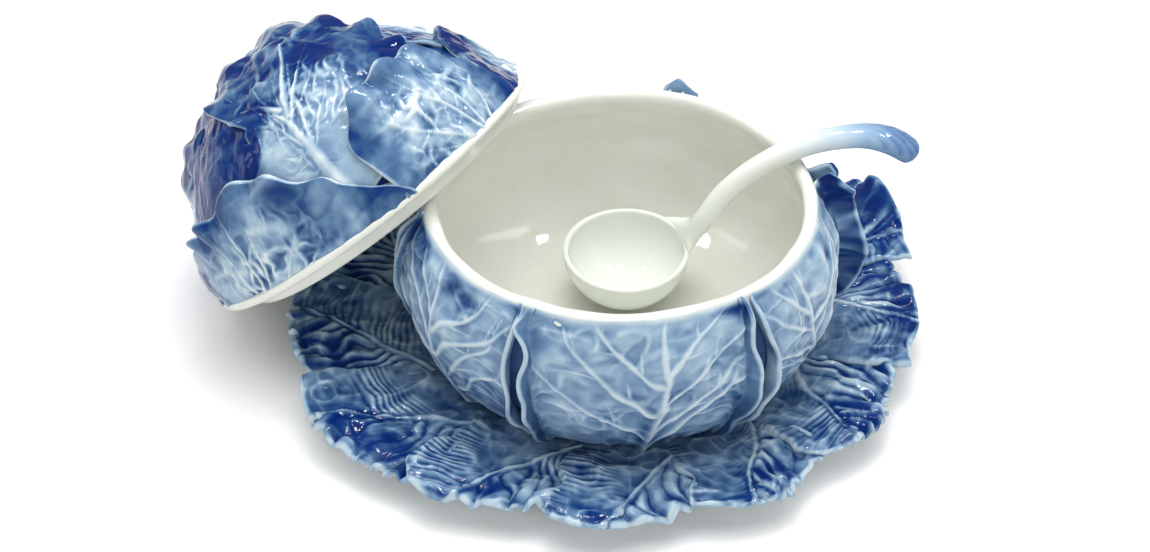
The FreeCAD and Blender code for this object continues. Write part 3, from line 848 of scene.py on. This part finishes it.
def lid_body():
    """The cream shell with its seat and its flange."""
    outline = [(0, 99), (40, 92.3), (75, 72.2), (98, 44.5), (107.6, 19), (109, 8), (104, 3.2), (99.2, 0)]
    outline += [(98.6, -4), (98.9, -8.6), (100, -9.6), (102, -9.7), (104.4, -9.5), (105.5, -8.4)]
    outline += [(105.6, -3), (106.4, -0.4), (108.5, 0), (116, 0), (122.6, 0.05), (124.2, 0.9)]
    outline += [(124.6, 2.6), (124.0, 4.6), (120.5, 6.4), (117.6, 17), (103.6, 52.6), (84, 76)]
    outline += [(60, 93.2), (30, 104.6), (0, 108)]

    def place(radius, height, azimuth):
        ring = turned_point(70, height, azimuth)
        hollow = np.sqrt(np.maximum(1 - (height / 104.0) ** 2, 0)) * 114.5
        inside = ease(height, 10, 30) * (radius < hollow)
        local = turned_point(np.maximum(radius + 0.5 * noise(ring, 24.0, 5) * inside, 0), height, azimuth)
        share = np.maximum(ease(height, 4, 22), 0.65 * ease(radius, 106, 113))
        return on_lid(local * (1 - (1 - flattened(local)) * share)[..., None])

    piece = turned("lid_body", smooth_path(outline, 400), place, lambda *_: 0.16, 245)
    fit(piece, "lid", "cream_glaze", "lid_shell")


def lid_skin():
    """The blue ground between the leaves on the dome."""
    angle = np.radians(np.linspace(90, 3.0, 64))[:, None]
    quarter = np.concatenate([np.cos(angle), np.sin(angle)], axis=1)
    profile = smooth_path(np.concatenate([quarter * (119.4, 108.4), quarter[::-1] * (117.0, 106.0)]), 300)

    def place(radius, height, azimuth):
        ring = turned_point(radius, height, azimuth)
        pressed = 1 - (1 - flattened(ring)) * np.maximum(ease(height, 4, 22), 0.65)
        return on_lid(ring * (pressed + 0.006 * noise(ring, 16.0, 4))[..., None])

    def colour(radius, height, azimuth):
        return 0.92 + 0.2 * layered(turned_point(radius, height, azimuth), 18.0, 3, 6)

    piece = turned("lid_skin", profile, place, colour, 240)
    fit(piece, "lid", "lid_leaf_glaze", "lid_shell")


def lid_leaves():
    """Five low leaves and a dark hollow between two of them, three top leaves and the crown."""
    even = [1.0, 1.02, 0.97, 1.0, 1.02, 0.97, 1.0, 0.98, 1.0, 0.97, 1.02, 0.98, 1.0]
    lid_leaf("lid_front_leaf", "lid_low_leaf_02", 1, -3, 0.6, 54, 33,
             [1.02, 0.97, 0.90, 0.89, 0.93, 0.92, 1.01, 1.08, 0.98, 0.90, 0.88, 0.87, 0.87, 0.88,
              0.90, 0.92, 0.95],
             8.5, 2.8, 15.0, [fan(901, (-6, -14), 4, 52, 5, 84, 1.5)], dark=0.34, patches=0.12, quiet=0.66,
             core=(0.0, 0.22))
    lid_leaf("lid_right_leaf", "lid_low_leaf_03", 2, 76, 0.6, 30, 34,
             [0.80, 0.80, 0.82, 0.84, 0.88, 0.97, 1.05, 1.10, 1.09, 1.09, 1.16, 1.24, 1.27, 1.26,
              1.08, 0.97, 0.95],
             8.0, 2.5, 17.0, [fan(911, (14, -12), -26, 42, 5, 96, 1.6)], dark=0.32, quiet=0.55, patches=0.2,
             core=(0.05, 0.28))
    lid_leaf("lid_left_leaf", "lid_low_leaf_01", 3, -93, 0.6, 36, 52,
             [1.0, 1.0, 1.0, 0.96, 1.0, 0.95, 0.95, 0.95, 0.95], 3.0, 1.6, 22.0,
             [fan(921, (0, 2), 0, 46, 5, 96, 2.0)], tilt=-2.5, smooth=0.4, quiet=0.66)
    lid_leaf("lid_hollow_leaf", "lid_low_leaf_01", 10, 0, 0, 29, 25,
             even, 3.5, 1.4, 17.0,
             [[vein((0, -44), -14, 74, -8, 2.4, 14)], fan(991, (0, -40), -12, 34, 4, 74, 1.6)],
             dark=0.02, round_leaf=chart(-23, 44), tilt=-5.0, patches=0.10, base=0.88, smooth=0.65)
    lid_leaf("lid_back_leaf_right", "lid_low_leaf_04", 4, 132, 0.6, 38, 34,
             [0.98, 0.95, 1.0, 1.02, 0.98, 1.0, 0.97, 0.97, 1.0], 1.4, 1.0, 18.0,
             [fan(931, (0, 2), 0, 60, 5, 76, 2.1)], cell=1.2)
    lid_leaf("lid_back_leaf_left", "lid_low_leaf_05", 5, 207, 0.6, 46, 38,
             [1.0, 0.97, 1.02, 0.97, 1.04, 0.97, 1.0, 0.97, 1.0], 6.0, 3.0, 16.0,
             [fan(941, (0, 2), 0, 62, 6, 80, 2.1)], cell=1.2)
    lid_leaf("lid_top_leaf_front", "lid_top_leaf_01", 6, 0, 0, 38, 38,
             [1.04, 1.04, 1.08, 1.22, 1.14, 0.66, 0.44, 0.62, 0.95, 1.16, 1.12, 1.02, 1.04], 6.5, 2.6, 18.0,
             [[vein((-5, -78), -2, 72, -12, 4.2, 14), vein((-10, -8), -28, 34, -26, 2.6, 10),
               vein((-9, -18), 22, 66, -14, 2.4, 12)], fan(951, (-7, -46), 6, 40, 4, 86, 1.9),
              fan(952, (-8, -20), 34, 28, 3, 66, 1.7)],
             dark=0.46, round_leaf=chart(38, 54), patches=0.36, core=(-0.05, -0.42))
    lid_leaf("lid_top_leaf_right", "lid_top_leaf_02", 7, 0, 0, 35, 35,
             even[::-1], 1.8, 1.5, 18.0,
             [[vein((0, -58), 3, 100, 4, 3.2, 14)], fan(961, (0, -52), 0, 40, 5, 106, 2.2)],
             round_leaf=chart(154, 46), cell=1.2)
    lid_leaf("lid_top_leaf_left", "lid_top_leaf_03", 8, 0, 0, 36, 36,
             even, 1.4, 1.2, 18.0,
             [[vein((0, -58), -3, 100, -4, 3.2, 14)], fan(971, (0, -52), 0, 40, 5, 106, 2.2)],
             round_leaf=chart(262, 46), cell=1.2)
    lid_leaf("lid_crown_leaf_glazed", "lid_crown_leaf", 9, 0, 0, 15, 15,
             even, 1.6, 1.0, 12.0, [fan(981, (0, -22), 0, 38, 4, 44, 1.6)],
             round_leaf=chart(225, 68), cell=1.0)


# --- Ladle ---

CUP_TILT = math.radians(5.0)    # the cup leans this much towards the front
CUP_LEVEL = 62.0                # the height about which it leans


def ladle_centre():
    """The middle of the ladle's cup."""
    low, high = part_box("ladle_cup")
    return np.array([(low.x + high.x) * 500, (low.y + high.y) * 500, 0.0])


def ladle_cup():
    """A round cup with a thin, rounded lip."""
    centre = ladle_centre()
    angles = [math.radians(a) for a in range(90, -1, -10)]
    outline = [(39.5 * math.cos(a), CUP_LEVEL - 35.4 * math.sin(a)) for a in angles]
    outline += [(39.1, 63.0), (37.75, 63.5), (36.4, 63.0)]
    outline += [(36.0 * math.cos(a), CUP_LEVEL - 32.0 * math.sin(a)) for a in angles[::-1]]

    def place(radius, height, azimuth):
        angle = np.radians(azimuth)
        wobble = 1 + 0.006 * np.sin(2 * angle + 1) + 0.004 * np.sin(3 * angle)
        x, y, up = np.moveaxis(turned_point(radius * wobble, height - CUP_LEVEL, azimuth), -1, 0)
        cos, sin = math.cos(CUP_TILT), math.sin(CUP_TILT)
        return np.stack([x, y * cos - up * sin, CUP_LEVEL + up * cos + y * sin], axis=-1) + centre

    piece = turned("ladle_cup_glazed", smooth_path(outline, 260), place, lambda *_: 0.2, 220)
    fit(piece, "ladle", "cream_glaze", "ladle_cup", material="white_glaze")


def ladle_handle():
    """A rounded handle that spreads where it is luted to the cup and ends in a leaf-like knob."""
    # distance from the cup's axis, height, width and thickness along the handle
    sections = [
        (38.4, 56, 26, 2), (38.8, 60, 34, 4.5), (40.0, 64.5, 35, 7.5), (42.4, 70, 26, 11.5),
        (45.4, 77, 19, 13.5), (49.5, 88, 15, 13.2), (60, 106.5, 14, 12.9), (78, 124.5, 14.5, 13.4),
        (99, 138.5, 15, 13.4), (122, 147, 16, 13.4), (145, 149.5, 19, 14), (160, 146, 22, 15.5),
        (170.5, 139.5, 21, 15.5), (174.5, 135.0, 17, 13),
    ]
    path = smooth_path(sections, 260)
    out, up, width, thickness = (path[:, k, None] for k in range(4))
    run = unit(np.gradient(path[:, :2], axis=0))
    length = np.r_[0, np.cumsum(np.linalg.norm(np.diff(path[:, :2], axis=0), axis=1))][:, None]
    left = length[-1] - length
    # both ends are rounded off
    cap, root = (np.sqrt(1 - (1 - np.clip(away / 4.0, 0, 1)) ** 2) for away in (left, length))
    turn = np.radians(np.linspace(0, 360, 56, endpoint=False))
    side = 0.5 * width * np.minimum(cap, root) * np.cos(turn)
    lift = 0.5 * thickness * np.minimum(cap, root) * np.sin(turn)
    # grooves on the upper side of the knob
    groove = np.abs(np.sin((np.abs(side) * 1.1 + left * 0.55) * 0.62 + 0.6)) ** 0.5
    carve = -0.55 * (1 - groove) * ease(38 - left, 0, 20) * (np.sin(turn) > 0) * cap
    lift += carve
    x = out - run[:, 1, None] * lift
    z = up + run[:, 0, None] * lift
    # the root wraps round the cup and lies a little towards its back
    across = side + 15 * (1 - ease(z, 58, 94))
    x -= (39 - np.sqrt(39 ** 2 - np.minimum(np.abs(across), 37) ** 2)) * (1 - ease(z, 64, 82))
    points = np.stack([x, across, z], axis=-1) + ladle_centre()
    colour = 0.60 * ease(out, 88, 172) ** 1.15 + 0.10 * ease(12 - left, 0, 12) - 0.35 * carve
    colour += 0.05 * layered(points, 14.0, 3, 3) * ease(out, 110, 140)
    colour = np.clip(colour, 0, 1)
    tips = [points[i].mean(axis=0) for i in (0, -1)]
    glaze = np.r_[colour[1:-1].ravel(), colour[0, 0], colour[-1, 0]]
    piece = closed_tube("ladle_handle_glazed", points[1:-1], tips, glaze, -1)
    fit(piece, "ladle", "ladle_glaze", "ladle_handle")


# --- Camera, floor and light ---

CAMERA_TARGET = Vector((-0.02102, -0.014, 0.06967))
CAMERA_TILT = math.radians(37.695)    # how far it looks down
CAMERA_DISTANCE = 1.8
CAMERA_LENS = 91.655
LAMP_TARGET = Vector((0, 0, 0.05))


def add_camera():
    """The camera, in metres like the floor and the lamps."""
    camera = bpy.data.objects.new("camera", bpy.data.cameras.new("camera"))
    scene.collection.objects.link(camera)
    back = Vector((0, -math.cos(CAMERA_TILT), math.sin(CAMERA_TILT)))
    camera.location = CAMERA_TARGET + CAMERA_DISTANCE * back
    camera.rotation_euler = (math.pi / 2 - CAMERA_TILT, 0, 0)
    camera.data.sensor_width = 36
    camera.data.lens = CAMERA_LENS
    scene.camera = camera


def add_floor():
    """White paper under the tureen."""
    mesh = bpy.data.meshes.new("floor")
    mesh.from_pydata([(-6, -6, 0), (6, -6, 0), (6, 6, 0), (-6, 6, 0)], [], [(0, 1, 2, 3)])
    floor = bpy.data.objects.new("floor", mesh)
    material = bpy.data.materials.new("floor_paper")
    material.use_nodes = True
    shader = material.node_tree.nodes["Principled BSDF"]
    shader.inputs["Base Color"].default_value = (0.93, 0.93, 0.93, 1)
    shader.inputs["Roughness"].default_value = 0.9
    shader.inputs["Specular IOR Level"].default_value = 0.1
    mesh.materials.append(material)
    scene.collection.objects.link(floor)


def add_area(name, place, size, power, glossy=True, diffuse=True):
    """A soft lamp. glossy is whether it shows in reflections, diffuse whether it lights."""
    light = bpy.data.lights.new(name, "AREA")
    light.shape = "RECTANGLE"
    light.size, light.size_y = size
    light.energy = power
    lamp = bpy.data.objects.new(name, light)
    lamp.location = place
    lamp.rotation_euler = (LAMP_TARGET - Vector(place)).to_track_quat("-Z", "Y").to_euler()
    lamp.visible_glossy = glossy
    lamp.visible_diffuse = diffuse
    scene.collection.objects.link(lamp)


def add_light():
    """Even light from all round, with softboxes that only the gloss shows."""
    world = bpy.data.worlds.new("world")
    world.use_nodes = True
    background = world.node_tree.nodes["Background"]
    background.inputs["Color"].default_value = (1.0, 0.985, 0.965, 1)
    background.inputs["Strength"].default_value = 0.30
    scene.world = world
    add_area("fill_top", (0.0, 0.3, 2.6), (3.4, 3.0), 74, glossy=False)
    add_area("key", (0.0, 0.35, 1.9), (0.9, 0.9), 10, glossy=False)
    add_area("fill_front", (0.2, -2.6, 1.4), (3.0, 1.6), 26, glossy=False)
    for side, place, power in (("left", (-0.22, 0.35, 1.75), 11.0), ("right", (0.16, 0.35, 1.75), 11.0),
                               ("far_left", (-0.8, 0.15, 1.6), 9.0), ("far_right", (0.8, 0.15, 1.6), 9.0)):
        add_area("softbox_" + side, place, (0.14, 0.20), power, diffuse=False)
    add_area("strip_left", (-1.7, 0.2, 1.1), (0.25, 1.2), 4.0)
    add_area("strip_right", (1.7, 0.0, 1.1), (0.25, 1.2), 4.0)
    scene.view_settings.view_transform = "Standard"


add_camera()
add_light()
add_floor()
stand_dish()
stand_leaves()
bowl_body()
for number in range(1, 7):
    bowl_leaf(number)
bowl_back_curl()
lid_body()
lid_skin()
lid_leaves()
ladle_cup()
ladle_handle()
